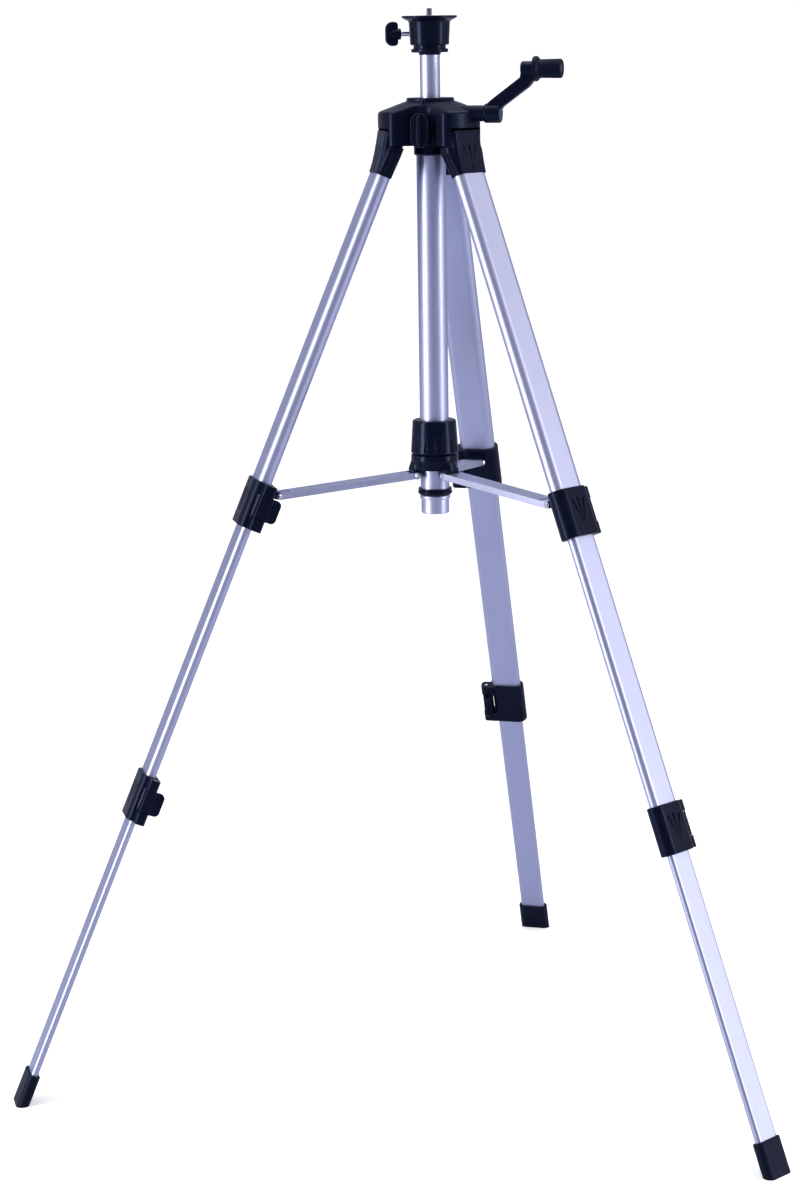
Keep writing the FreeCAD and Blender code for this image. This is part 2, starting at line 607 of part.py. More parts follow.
def lock_nut():
    """The fluted clamp nut over the hub's collet."""
    inside = "column_round+nut_gap"
    seat = "hub_top+collet_long+1.4"
    blank = turn("nut_blank", (("nut_bore", "nut_low"), ("nut_low_round-1.2", "nut_low"),
                               ("nut_low_round", "nut_low+1.6"), ("nut_high_round", "nut_high-2.2"),
                               ("nut_high_round-0.5", "nut_high-0.8"), ("nut_high_round-2.4", "nut_high"),
                               (inside, "nut_high"), (inside, seat), ("nut_bore", seat)))
    lean = math.degrees(math.atan(size("(nut_low_round-nut_high_round)/(nut_high-nut_low)")))
    count = int(size("flute_count"))
    flutes = []
    for i in range(count):
        place = (turned(UP, 360 * i / count)
                 * shifted(size("nut_low_round+0.5"), 0, size("nut_low+flute_start")) * turned(NORTH, -lean))
        flutes.append(cone("nut_flute", "flute_round", "flute_tip", "flute_long", place))
        ball = document.addObject("Part::Sphere", "nut_flute_end")
        bind(ball, Radius="flute_round")
        ball.Placement = place
        flutes.append(ball)
    keep(cut("lock_nut", blank, *flutes), "lock_nut")


# ---------------------------------------------------------------- column and pole

def column():
    inside = "column_round-column_wall"
    tube = turn("column_blank", ((inside, "column_low"), ("column_round", "column_low"),
                                 ("column_round", "column_high"), (inside, "column_high")))
    hole = cylinder("column_hole", "lock_stud_round+0.3", "12", radial_place("lock_azimuth", "lock_height"),
                    "10")
    keep(cut("column_tube", tube, hole), "column_tube")
    lowest = "column_low-plug_drop"
    sleeve = "column_round-column_wall-fixed_gap"
    keep(turn("column_end_plug", (("plug_bore", lowest), ("plug_round-0.5", lowest),
                                  ("plug_round", lowest + "+0.6"), ("plug_round", "column_low-4.2"),
                                  ("plug_rim-0.5", "column_low-4.2"), ("plug_rim", "column_low-3.4"),
                                  ("plug_rim", "column_low-1"), ("plug_rim-0.5", "column_low-fixed_gap"),
                                  (sleeve, "column_low-fixed_gap"), (sleeve, "column_low+plug_rise"),
                                  ("plug_bore", "column_low+plug_rise"))), "column_end_plug")
    grip = "column_round+fixed_gap"
    keep(turn("stop_ring", ((grip, "column_low+0.1"), ("stop_seat", "column_low+0.1"),
                            ("stop_round", "column_low+2.6"), ("stop_round", "column_low+4.4"),
                            ("stop_waist", "column_low+5.2"), ("stop_top", "column_low+6.6"),
                            ("stop_top-0.4", "column_low+stop_high"), (grip, "column_low+stop_high"))),
         "stop_ring")


def pole():
    tube = turn("pole_blank", (("pole_round-pole_wall", "pole_low"), ("pole_round", "pole_low"),
                               ("pole_round", "pole_high"), ("pole_round-pole_wall", "pole_high")))
    slot = block("pole_slot", ("rack_back", "-rack_wide/2-fixed_gap", "rack_low-0.5"),
                 ("14", "rack_wide/2+fixed_gap", "rack_high+0.5"), turned(UP, size("lock_azimuth")))
    keep(cut("pole_tube", tube, slot), "pole_tube")


def pole_rack():
    """A rack of straight-sided teeth, a gap of it level with the pinion's axis."""
    pitch = math.pi * size("gear_module")
    slope = math.tan(math.radians(size("pressure_angle")))
    pitch_line = size("crank_offset") - size("pinion_teeth") * size("gear_module") / 2
    half = (pitch / 2 - size("backlash")) / 2
    tip, root = size("rack_tip"), size("rack_root")
    half_tip, half_root = half - (tip - pitch_line) * slope, half + (pitch_line - root) * slope
    low, high, middle = size("rack_low"), size("rack_high"), size("crank_height")
    first = math.ceil((low - middle) / pitch + 0.5)
    last = math.floor((high - middle) / pitch - 1.5)
    points = [(size("rack_back"), low), (root, low)]
    for i in range(first, last + 1):
        centre = middle + (i + 0.5) * pitch
        points += [(root, centre - half_root), (tip, centre - half_tip), (tip, centre + half_tip),
                   (root, centre + half_root)]
    points += [(root, high), (size("rack_back"), high)]
    wide = size("rack_wide")
    corners = [FreeCAD.Vector(x, -wide / 2, z) for x, z in points]
    face = Part.Face(Part.makePolygon(corners + corners[:1]))
    item = document.addObject("Part::Feature", "pole_rack")
    item.Shape = face.extrude(FreeCAD.Vector(0, wide, 0))
    keep(item, "pole_rack", turned(UP, size("lock_azimuth")))


# ---------------------------------------------------------------- head

def filleted(name, base, radius, wanted):
    """Rounds the edges of a Part solid that the test picks."""
    document.recompute()
    item = document.addObject("Part::Fillet", name)
    item.Base = base
    item.Edges = [(i + 1, radius, radius) for i, edge in enumerate(base.Shape.Edges) if wanted(edge)]
    document.recompute()
    return item


def head_plan():
    """The head's outline, straight up: three lobes with rounded corners and hollow walls between them."""
    tall = "head_high-head_low+2"
    lobes = []
    for leg in LEGS:
        lobe = prism("head_lobe_" + leg, "XY_Plane",
                     (("0", "-lobe_half"), ("head_round+5", "-lobe_half"), ("head_round+5", "lobe_half"),
                      ("0", "lobe_half")), tall, "head_low")
        lobe.Placement = turned(UP, size(leg + "_azimuth"))
        lobes.append(lobe)
    waist = cylinder("head_waist", "waist_round", tall, None, "head_low")
    limit = cylinder("head_limit", "head_round", tall, None, "head_low")
    sharp = common("head_sharp_plan", fused("head_lobes", waist, *lobes), limit)
    halfway = size("(waist_round+head_round)/2")

    def inner(edge):
        return runs_along(edge, UP) and math.hypot(edge.CenterOfMass.x, edge.CenterOfMass.y) < halfway

    def outer(edge):
        return runs_along(edge, UP) and not inner(edge)

    hollowed = filleted("head_hollowed_plan", sharp, size("waist_blend"), inner)
    return filleted("head_round_plan", hollowed, size("lobe_corner"), outer)


def head_housing():
    dome = turn("head_dome", (("0", "head_low"), ("dome_rim", "head_low"), ("dome_rim", "dome_rim_high"),
                              ("head_ring-1", "ring_low"), ("0", "ring_low")))
    outside = common("head_outside", head_plan(), dome)
    low, ring_level = size("head_low"), size("ring_low")

    def rim(edge):
        box = edge.BoundBox
        return not runs_along(edge, UP) and box.ZMin > low + 1 and box.ZMax < ring_level - 1

    outside = filleted("head_soft_outside", outside, size("dome_edge"), rim)
    cap = turn("head_cap", (("0", "ring_low-2"), ("head_ring", "ring_low-2"), ("head_ring", "head_high-0.8"),
                            ("head_ring-0.8", "head_high"), ("0", "head_high")))
    neck = turn("head_neck", (("0", "neck_low"), ("neck_round-neck_lip", "neck_low"),
                              ("neck_round", "neck_low+neck_lip"), ("neck_round", "head_low+2"),
                              ("0", "head_low+2")))
    crank_neck = cylinder("head_crank_neck", "crank_neck_round", "crank_neck_end-20", crank_place(), "20")
    boss = cylinder("head_boss", "stop_boss_round", "stop_boss_high-stop_boss_low",
                    turned(UP, size("lock_azimuth")) * shifted(size("stop_boss_out"), 0, 0), "stop_boss_low")
    solid = fused("head_solid", outside, cap, neck, crank_neck, boss)
    keep(cut("head_housing", solid, *head_hollows()), "head_housing")


def hinge_place(leg):
    """From a frame on a leg's hinge pin, +Z along the pin, to the tripod's frame."""
    return (turned(UP, size(leg + "_azimuth")) * shifted(size("pivot_reach"), 0, size("pivot_height"))
            * turned(EAST, -90))


def head_hollows():
    """Leg pockets, bores for the column, pole, pins, shaft and stud, and the pinion's chamber."""
    hollows = []
    for leg in LEGS:
        around = turned(UP, size(leg + "_azimuth"))
        hollows.append(block("head_pocket", ("pocket_reach", "-pocket_half", "head_low-5"),
                             ("head_round-skirt_wall", "pocket_half", "pocket_roof"), around))
        hollows.append(block("head_mouth", ("pocket_reach", "-pocket_half", "head_low-5"),
                             ("head_round+5", "pocket_half", "skirt_low"), around))
        hollows.append(cylinder("head_pin_hole", "pin_round+fixed_gap", "2*(pocket_half+pin_seat+fixed_gap)",
                                hinge_place(leg), "-pocket_half-pin_seat-fixed_gap"))
    hollows.append(cylinder("head_column_bore", "column_round+fixed_gap", "column_high-neck_low+1.5", None,
                            "neck_low-1"))
    hollows.append(cylinder("head_pole_bore", "pole_round+0.1", "80", None, "neck_low"))
    hollows.append(block("head_rack_slot", ("8", "-rack_wide/2-0.4", "neck_low"),
                         ("rack_tip+0.5", "rack_wide/2+0.4", "head_high+5"),
                         turned(UP, size("lock_azimuth"))))
    hollows.append(cylinder("head_gear_chamber", "gear_module*(pinion_teeth/2+1)+0.5", "pinion_wide+1.2",
                            crank_place(), "-pinion_wide/2-0.6"))
    hollows.append(cylinder("head_shaft_bore", "crank_shaft_round+run_gap", "crank_neck_end+crank_inside+16",
                            crank_place(), "-crank_inside-1"))
    stud = radial_place("lock_azimuth", "lock_height")
    hollows.append(cylinder("head_stud_hole", "lock_stud_round+run_gap", "40", stud, "10"))
    return hollows


def leg_hinge_pins():
    """Blind pins across the leg pockets, seated in both of a lobe's walls."""
    pins = [cylinder("hinge_pin_" + leg, "pin_round", "2*(pocket_half+pin_seat)", hinge_place(leg),
                     "-pocket_half-pin_seat") for leg in LEGS]
    keep(group("leg_hinge_pins", *pins), "leg_hinge_pins")


def pole_lock():
    """A stud that bears on the pole, and its oval knob with a finger ridge."""
    place = radial_place("lock_azimuth", "lock_height")
    stud = cylinder("lock_stud", "lock_stud_round", "lock_plate_out-1-lock_stud_in", place, "lock_stud_in")
    keep(stud, "lock_stud")
    plate = prism("lock_plate", "XY_Plane",
                  (("-lock_high/2", "-lock_wide/2"), ("lock_high/2", "-lock_wide/2"),
                   ("lock_high/2", "lock_wide/2"), ("-lock_high/2", "lock_wide/2")),
                  "lock_plate_out-lock_plate_in", "lock_plate_in")
    rounded(plate, size("lock_corner"), lambda e: runs_along(e, UP))
    rim = size("lock_plate_out")
    rounded(plate, 1.2, lambda e: abs(e.CenterOfMass.z - rim) < 0.05)
    blade = prism("lock_blade", "XZ_Plane",
                  (("-lock_high/2+0.8", "lock_plate_in+1"), ("lock_high/2-0.8", "lock_plate_in+1"),
                   ("lock_high/2-4", "lock_blade_out"), ("-lock_high/2+4", "lock_blade_out")),
                  "lock_blade_thick", middle=True)
    crest = size("lock_blade_out")
    rounded(blade, 1.2, lambda e: e.BoundBox.ZMax > crest - 0.1)
    boss = cylinder("lock_boss", "lock_boss_round", "lock_boss_long+1", None, "lock_plate_in-lock_boss_long")
    bore = cylinder("lock_bore", "lock_stud_round+fixed_gap",
                    "lock_plate_out-lock_plate_in+lock_boss_long-0.5", None, "lock_plate_in-lock_boss_long-0.5")
    keep(cut("lock_knob", fused("lock_solid", plate, blade, boss), bore), "lock_knob", place)


def crank():
    place = crank_place()
    keep(cylinder("crank_shaft", "crank_shaft_round", "crank_hub_end-2+crank_inside", place, "-crank_inside"),
         "crank_shaft")
    pinion()
    owner = prism("crank_bend", "XZ_Plane",
                  (("-4", "crank_hub_start+2"), ("9", "crank_hub_start+2"), ("13", "crank_hub_start+6"),
                   ("crank_throw-9", "crank_eye_start-1"), ("crank_throw-4", "crank_eye_start"),
                   ("crank_throw", "crank_eye_start"), ("crank_throw", "crank_eye_end"),
                   ("crank_throw-14", "crank_eye_end"), ("crank_throw-19", "crank_eye_end-4"),
                   ("7", "crank_hub_end+3"), ("3", "crank_hub_end"), ("-4", "crank_hub_end")),
                  "crank_arm_wide", middle=True)
    side = size("crank_arm_wide") / 2
    rounded(owner, 1.8, lambda e: abs(abs(e.CenterOfMass.y) - side) < 0.01)
    hub = disc("crank_hub", "crank_hub_round", "crank_hub_start", "crank_hub_end")
    eye = disc("crank_eye", "crank_eye_round", "crank_eye_start", "crank_eye_end", "crank_throw")
    solid = fused("crank_solid", owner, hub, eye)
    bore = cylinder("crank_bore", "crank_shaft_round+fixed_gap", "crank_hub_end-2+crank_inside+1", None,
                    "-crank_inside-1+fixed_gap")
    at_grip = shifted(size("crank_throw"), 0, 0)
    hole = cylinder("crank_bolt_hole", "grip_bolt_round+fixed_gap", "40", at_grip, "crank_eye_start-10")
    keep(cut("crank_arm", solid, bore, hole), "crank_arm", place)
    seat = "grip_end-grip_recess_deep+0.1"
    shank = cylinder("grip_shank", "grip_bolt_round", "(%s)+0.1-crank_eye_start-1" % seat, at_grip,
                     "crank_eye_start+1")
    head = cylinder("grip_head", "bolt_head_round", "bolt_head_high", at_grip, seat)
    keep(fused("grip_bolt", shank, head), "grip_bolt", place)
    crank_grip(place)


def ring(target, radius, x="0"):
    """A circle on the sketch's X axis."""
    target.addGeometry(Part.Circle(FreeCAD.Vector(size(x), 0, 0), UP, size(radius)))
    index = target.addConstraint(Sketcher.Constraint("Radius", target.GeometryCount - 1, size(radius)))
    target.setExpression("Constraints[%d]" % index, linked(radius))


def disc(name, radius, start, end, x="0"):
    """A thick round disc with softened rims."""
    owner = body(name)
    profile = sketch(owner, "XY_Plane", start)
    ring(profile, radius, x)
    pad(owner, profile, "%s-%s" % (end, start))
    rounded(owner, 1.5, lambda e: e.BoundBox.ZLength < 0.01)
    return owner


def crank_grip(place):
    """A turned grip with a flange next to the arm, fluted sides and a recess for the bolt's head."""
    bore = "grip_bolt_round+run_gap"
    blank = turn("grip_blank", ((bore, "grip_start"), ("grip_flange-1", "grip_start"),
                                ("grip_flange", "grip_start+1"), ("grip_flange", "grip_flange_end-3.4"),
                                ("grip_round+0.2", "grip_flange_end-0.6"),
                                ("grip_round-0.4", "grip_flange_end"),
                                ("grip_round", "grip_end-1.4"), ("grip_round-1.4", "grip_end"),
                                ("grip_recess", "grip_end"), ("grip_recess", "grip_end-grip_recess_deep"),
                                (bore, "grip_end-grip_recess_deep")))
    count = int(size("grip_flute_count"))
    rim = shifted(size("grip_round+0.25"), 0, 0)
    flutes = [cylinder("grip_flute", "grip_flute_round", "grip_end-grip_flange_end+4",
                       turned(UP, 360 * i / count) * rim, "grip_flange_end+0.8") for i in range(count)]
    solid = cut("grip_solid", blank, *flutes)
    keep(solid, "crank_grip", place * shifted(size("crank_throw"), 0, 0))


def pinion():
    """An involute spur gear whose tooth points at the pole."""
    module, teeth = size("gear_module"), int(size("pinion_teeth"))
    pressure = math.radians(size("pressure_angle"))
    pitch_radius = module * teeth / 2
    base = pitch_radius * math.cos(pressure)
    involute = math.tan(pressure) - pressure
    half = (math.pi * module / 2 - size("backlash")) / 2 / pitch_radius

    def half_angle(radius):
        angle = math.acos(min(1.0, base / radius))
        return half + involute - (math.tan(angle) - angle)

    root = pitch_radius - 1.25 * module
    flank = [(root, half_angle(base))]
    outer = pitch_radius + module
    flank += [(r, half_angle(r)) for r in (base, pitch_radius, (pitch_radius + outer) / 2, outer)]
    points = []
    for i in range(teeth):
        centre = 2 * math.pi * i / teeth
        points += [(r, centre - a) for r, a in flank] + [(r, centre + a) for r, a in reversed(flank)]
    start = size("pinion_wide") / 2
    corners = [FreeCAD.Vector(r * math.sin(a), -r * math.cos(a), -start) for r, a in points]
    face = Part.Face(Part.makePolygon(corners + corners[:1]))
    blank = face.extrude(FreeCAD.Vector(0, 0, 2 * start))
    bore = Part.makeCylinder(size("crank_shaft_round+fixed_gap"), 4 * start, FreeCAD.Vector(0, 0, -2 * start))
    item = document.addObject("Part::Feature", "pinion")
    item.Shape = blank.cut(bore)
    keep(item, "pinion", crank_place())


# ---------------------------------------------------------------- platform

def platform():
    blank = turn("platform_blank",
                 (("0", "flange_high"), ("flange_round-0.6", "flange_high"),
                  ("flange_round", "flange_high-0.6"), ("flange_round", "flange_edge"),
                  ("flange_round-1.5", "flange_edge-1"),
                  ("body_top_round+3.2", "body_top+1"), ("body_top_round+1.2", "body_top"),
                  ("body_top_round", "body_top-1.4"), ("body_low_round", "body_low+0.8"),
                  ("body_low_round-0.8", "body_low"), ("groove_in", "body_low"), ("groove_in", "groove_low"),
                  ("ring_round-0.6", "groove_low"), ("ring_round", "groove_low-0.8"),
                  ("ring_round", "ring_bottom+0.8"), ("ring_round-0.6", "ring_bottom"),
                  ("cone_round", "ring_bottom"), ("cone_round-0.9", "cone_low"), ("0", "cone_low")))
    bore = cylinder("platform_bore", "pole_round+run_gap", "pole_high-cone_low+0.3+2", None, "cone_low-2")
    seat = cylinder("platform_seat", "shank_round+fixed_gap", "20", None, "pole_high+0.5")
    place = radial_place("knob_azimuth", "knob_height")
    side = cylinder("platform_side", "knob_shaft_round+run_gap", "20", place, "knob_shaft_in-0.4")
    keep(cut("platform", blank, bore, seat, side), "platform")
    keep(turn("instrument_screw", (("0", "pole_high+1"), ("shank_round", "pole_high+1"),
                                   ("shank_round", "flange_high"), ("screw_neck", "flange_high"),
                                   ("screw_neck", "screw_low"), ("screw_round", "screw_low"),
                                   ("screw_round", "screw_high-0.6"), ("screw_round-0.6", "screw_high"),
                                   ("0", "screw_high"))), "instrument_screw")
    shaft = cylinder("platform_knob_shaft", "knob_shaft_round", "knob_in+6-knob_shaft_in", place,
                     "knob_shaft_in")
    keep(shaft, "platform_knob_shaft")
    platform_knob(place)


def platform_knob(place):
    """A flat wing knob, its outline rounded all the way about, on a short hub."""
    wing = prism("knob_wing", "XZ_Plane",
                 (("-knob_high/2+2", "knob_in+3"), ("knob_high/2-1", "knob_in+3"), ("knob_high/2", "knob_out"),
                  ("-knob_high/2", "knob_out")), "knob_thick", middle=True)
    middle = size("(knob_in+knob_out)/2")
    rounded(wing, 4, lambda e: runs_along(e, NORTH) and e.CenterOfMass.z < middle)
    rounded(wing, 8, lambda e: runs_along(e, NORTH) and e.CenterOfMass.z > middle)
    side = size("knob_thick/2")
    rounded(wing, 2, lambda e: abs(abs(e.CenterOfMass.y) - side) < 0.01)
    hub = turn("knob_hub", (("0", "knob_in"), ("knob_hub_round-0.6", "knob_in"),
                            ("knob_hub_round", "knob_in+0.6"), ("knob_hub_round", "knob_in+5"),
                            ("3.5", "knob_out-4"), ("0", "knob_out-4")))
    bore = cylinder("knob_bore", "knob_shaft_round+fixed_gap", "7.05", None, "knob_in-1")
    keep(cut("platform_knob", fused("knob_solid", wing, hub), bore), "platform_knob", place)


# ---------------------------------------------------------------- build, check and write

def problems():
    found = []
    for item in document.Objects:
        if "Invalid" in item.State or "Error" in item.State:
            found.append("%s (%s): %s" % (item.Name, item.Label, item.State))
    for node, item in nodes.items():
        if item.Shape.isNull() or not item.Shape.isValid():
            found.append("%s has no valid shape" % node)
    return found


def main():
    legs()
    for leg in LEGS:
        brace_arm(leg)
    spreader()
    lock_nut()
    column()
    pole()
    pole_rack()
    head_housing()
    leg_hinge_pins()
    pole_lock()
    crank()
    platform()
    document.recompute()
    found = problems()
    if found:
        raise RuntimeError("; ".join(found))
    os.makedirs("parts", exist_ok=True)
    for node, item in nodes.items():
        item.Shape.exportStep("parts/%s.step" % node)
    print("%d sub-parts written" % len(nodes))


main()
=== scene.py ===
import math

import bmesh
import bpy
from mathutils import Matrix, Vector

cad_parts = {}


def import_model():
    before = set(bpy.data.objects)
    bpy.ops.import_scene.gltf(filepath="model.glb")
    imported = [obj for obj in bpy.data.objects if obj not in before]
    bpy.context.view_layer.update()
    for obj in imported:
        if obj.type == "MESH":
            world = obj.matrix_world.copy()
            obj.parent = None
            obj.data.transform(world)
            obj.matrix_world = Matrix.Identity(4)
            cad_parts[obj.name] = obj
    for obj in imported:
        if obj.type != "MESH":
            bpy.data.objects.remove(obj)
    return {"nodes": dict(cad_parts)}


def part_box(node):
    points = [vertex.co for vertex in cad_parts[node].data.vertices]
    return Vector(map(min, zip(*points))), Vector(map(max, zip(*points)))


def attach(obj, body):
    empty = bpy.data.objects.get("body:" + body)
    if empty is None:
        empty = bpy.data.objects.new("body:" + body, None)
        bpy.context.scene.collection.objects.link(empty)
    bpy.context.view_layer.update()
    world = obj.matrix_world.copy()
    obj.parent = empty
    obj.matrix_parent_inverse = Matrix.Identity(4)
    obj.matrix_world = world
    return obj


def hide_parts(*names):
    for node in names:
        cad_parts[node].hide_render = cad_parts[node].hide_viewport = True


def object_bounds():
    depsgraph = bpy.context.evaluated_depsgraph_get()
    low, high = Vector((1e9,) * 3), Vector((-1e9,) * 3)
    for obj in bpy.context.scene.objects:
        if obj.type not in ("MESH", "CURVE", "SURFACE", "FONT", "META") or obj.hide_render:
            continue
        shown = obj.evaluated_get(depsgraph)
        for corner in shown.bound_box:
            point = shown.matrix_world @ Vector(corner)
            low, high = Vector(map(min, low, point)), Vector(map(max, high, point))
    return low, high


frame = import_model()
CAD_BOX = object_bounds()

MM = 0.001
INCH = 25.4 * MM
LEGS = ("right", "rear", "left")
UP = Vector((0, 0, 1))
ROUNDED = math.radians(32)  # faces that meet at less than this are shaded as one

# linear colours
LEG_ALLOY = (0.59, 0.605, 0.79)
COLUMN_ALLOY = (0.58, 0.595, 0.78)
POLE_ALLOY = (0.66, 0.675, 0.86)
CHANNEL_ALLOY = (0.66, 0.67, 0.82)
TURNED_STEEL = (0.62, 0.62, 0.66)
BRIGHT_PLATE = (0.86, 0.86, 0.92)
DARK_STEEL = (0.16, 0.17, 0.21)
SCREW_STEEL = (0.30, 0.31, 0.37)
BRASS = (0.75, 0.57, 0.28)
BLACK_MOULDING = (0.0024, 0.0034, 0.0100)
BLACK_RUBBER = (0.0024, 0.0032, 0.0090)
DUST = (0.016, 0.017, 0.022)
COOL_SHEEN = (0.42, 0.56, 1.0)
PAPER_WHITE = (0.93, 0.925, 0.89)
PAPER_MIRRORED = (0.48, 0.51, 0.63)
ROOM_DARK = (0.16, 0.165, 0.27)
ROOM_BRIGHT = (0.95, 0.95, 1.0)
COOL_LIGHT = (0.95, 0.96, 1.0)


# ---------------------------------------------------------------- node helpers

class Tree:
    """A material's node tree, with short calls for the nodes that every finish uses."""

    def __init__(self, name):
        self.material = bpy.data.materials.new(name)
        self.material.use_nodes = True
        self.nodes = self.material.node_tree.nodes
        self.links = self.material.node_tree.links
        self.nodes.clear()
        self.output = self.nodes.new("ShaderNodeOutputMaterial")
        self.shader = self.nodes.new("ShaderNodeBsdfPrincipled")
        self.links.new(self.shader.outputs[0], self.output.inputs["Surface"])

    def plug(self, value, socket):
        """Links a socket's output to an input, or sets the input's own value."""
        if isinstance(value, bpy.types.NodeSocket):
            self.links.new(value, socket)
        elif isinstance(value, tuple) and len(value) == 3 and socket.type == "RGBA":
            socket.default_value = (*value, 1)
        else:
            socket.default_value = value

    def place(self, stretch=(1, 1, 1)):
        """Object coordinates in metres, stretched along the axes."""
        where = self.nodes.new("ShaderNodeTexCoord")
        mapping = self.nodes.new("ShaderNodeMapping")
        mapping.inputs["Scale"].default_value = stretch
        self.links.new(where.outputs["Object"], mapping.inputs["Vector"])
        return mapping.outputs[0]

    def along(self, axis):
        """Coordinates whose Z runs along an axis of the piece, for grain drawn along it."""
        where = self.nodes.new("ShaderNodeTexCoord")
        turn = self.nodes.new("ShaderNodeVectorRotate")
        turn.rotation_type = "EULER_XYZ"
        turn.inputs["Rotation"].default_value = axis.rotation_difference(UP).to_euler()
        self.links.new(where.outputs["Object"], turn.inputs["Vector"])
        return turn.outputs[0]

    def scaled(self, vector, stretch):
        """A vector stretched along its axes: a small factor draws a pattern out."""
        mapping = self.nodes.new("ShaderNodeMapping")
        mapping.inputs["Scale"].default_value = stretch
        self.links.new(vector, mapping.inputs["Vector"])
        return mapping.outputs[0]

    def noise(self, vector, scale, detail=2.0, rough=0.5):
        """Noise with about this many blotches per metre."""
        node = self.nodes.new("ShaderNodeTexNoise")
        node.inputs["Scale"].default_value = scale
        node.inputs["Detail"].default_value = detail
        node.inputs["Roughness"].default_value = rough
        self.links.new(vector, node.inputs["Vector"])
        return node.outputs["Fac"]

    def span(self, value, low, high, to_low=0.0, to_high=1.0):
        """Maps low..high to to_low..to_high, clamped."""
        node = self.nodes.new("ShaderNodeMapRange")
        for i, number in enumerate((low, high, to_low, to_high), start=1):
            node.inputs[i].default_value = number
        self.links.new(value, node.inputs[0])
        return node.outputs[0]

    def math(self, kind, a, b=0.0):
        node = self.nodes.new("ShaderNodeMath")
        node.operation = kind
        self.plug(a, node.inputs[0])
        self.plug(b, node.inputs[1])
        return node.outputs[0]

    def mix(self, factor, a, b):
        node = self.nodes.new("ShaderNodeMix")
        node.data_type = "RGBA"
        self.plug(factor, node.inputs[0])
        self.plug(a, node.inputs[6])
        self.plug(b, node.inputs[7])
        return node.outputs[2]

    def soft_edges(self, radius):
        """The surface normal with its hard edges rounded over."""
        node = self.nodes.new("ShaderNodeBevel")
        node.samples = 6
        node.inputs["Radius"].default_value = radius
        return node.outputs[0]

    def edge_mask(self, radius):
        """1 on sharp edges, 0 on open faces."""
        plain = self.nodes.new("ShaderNodeNewGeometry").outputs["Normal"]
        dot = self.nodes.new("ShaderNodeVectorMath")
        dot.operation = "DOT_PRODUCT"
        self.links.new(self.soft_edges(radius), dot.inputs[0])
        self.links.new(plain, dot.inputs[1])
        return self.span(dot.outputs["Value"], 0.99, 0.80)

    def bump(self, height, distance, strength=1.0, normal=None):
        """A normal bent by a height, which is this distance tall at its full value."""
        node = self.nodes.new("ShaderNodeBump")
        node.inputs["Distance"].default_value = distance
        node.inputs["Strength"].default_value = strength
        self.links.new(height, node.inputs["Height"])
        if normal is not None:
            self.links.new(normal, node.inputs["Normal"])
        return node.outputs[0]

    def finish(self, **sockets):
        """Fills the shader's sockets, named with _ for a space, and returns the material."""
        for name, value in sockets.items():
            self.plug(value, self.shader.inputs[name.replace("_", " ")])
        return self.material


# ---------------------------------------------------------------- finishes

def anodised(name, axis, tint=LEG_ALLOY, rough=0.43, scuffs=0.25):
    """Satin anodised tube: fine die lines along its length, a blasted grain and a few sliding scuffs."""
    tree = Tree(name)
    run = tree.along(axis)
    lines = tree.noise(tree.scaled(run, (1, 1, 0.003)), 2600, 2, 0.5)
    grain = tree.noise(run, 4200, 2, 0.6)
    cloud = tree.noise(tree.scaled(run, (1, 1, 0.25)), 22, 3, 0.5)
    scratch = tree.noise(tree.scaled(run, (1, 1, 0.012)), 900, 4, 0.75)
    rubbed = tree.math("MULTIPLY", tree.span(scratch, 0.60, 0.72),
                       tree.span(cloud, 0.5, 0.72, 0.0, scuffs))
    base = tree.mix(tree.span(cloud, 0.35, 0.7), tint, tuple(0.93 * c for c in tint))
    drawn = tree.mix(tree.span(lines, 0.4, 0.65, 0.0, 0.25), base, tuple(0.86 * c for c in tint))
    colour = tree.mix(rubbed, drawn, tuple(min(1.0, 1.18 * c) for c in tint))
    height = tree.math("ADD", tree.math("MULTIPLY", lines, 0.7), tree.math("MULTIPLY", grain, 0.5))
    normal = tree.bump(height, 0.012 * MM, 0.25, tree.soft_edges(0.4 * MM))
    satin = tree.math("ADD", tree.span(grain, 0.3, 0.7, rough - 0.03, rough + 0.04),
                      tree.math("MULTIPLY", rubbed, -0.08))
    return tree.finish(Base_Color=colour, Metallic=1.0, Normal=normal, Roughness=satin)


def bright_metal(name, tint, rough, edge=0.4 * MM, ripple=900):
    """Turned or plated metal: faint tool marks, rounded edges and a little patchy dulling."""
    tree = Tree(name)
    where = tree.place()
    marks = tree.noise(tree.place((1, 1, 7)), ripple, 3, 0.6)
    dull = tree.noise(where, 60, 3, 0.6)
    colour = tree.mix(tree.span(dull, 0.4, 0.8), tint, tuple(0.82 * c for c in tint))
    normal = tree.bump(marks, 0.02 * MM, 0.3, tree.soft_edges(edge))
    return tree.finish(Base_Color=colour, Metallic=1.0, Normal=normal,
                       Roughness=tree.span(dull, 0.3, 0.75, rough, rough + 0.12))


def moulding(name, tint=BLACK_MOULDING, rough=0.28, grain=0.3, sheen=0.23):
    """Moulded black plastic: spark-eroded grain, soft edges, faint rubbed edges and a cool sheen."""
    tree = Tree(name)
    where = tree.place()
    pores = tree.noise(where, 3200, 2, 0.55)
    flow = tree.noise(where, 38, 3, 0.5)
    patches = tree.span(tree.noise(where, 240, 3, 0.6), 0.46, 0.70)
    rub = tree.math("MULTIPLY", tree.edge_mask(0.6 * MM), patches)
    worn = tuple(5.0 * c + 0.012 for c in tint)
    base = tree.mix(tree.span(flow, 0.35, 0.75), tint, tuple(1.6 * c for c in tint))
    colour = tree.mix(tree.math("MULTIPLY", rub, 0.45), base, worn)
    height = tree.math("ADD", pores, tree.math("MULTIPLY", flow, 0.5))
    normal = tree.bump(height, 0.03 * MM, grain, tree.soft_edges(0.9 * MM))
    return tree.finish(Base_Color=colour, Normal=normal, Specular_IOR_Level=sheen,
                       Specular_Tint=COOL_SHEEN, IOR=1.45,
                       Roughness=tree.span(pores, 0.3, 0.7, rough - 0.03, rough + 0.06))


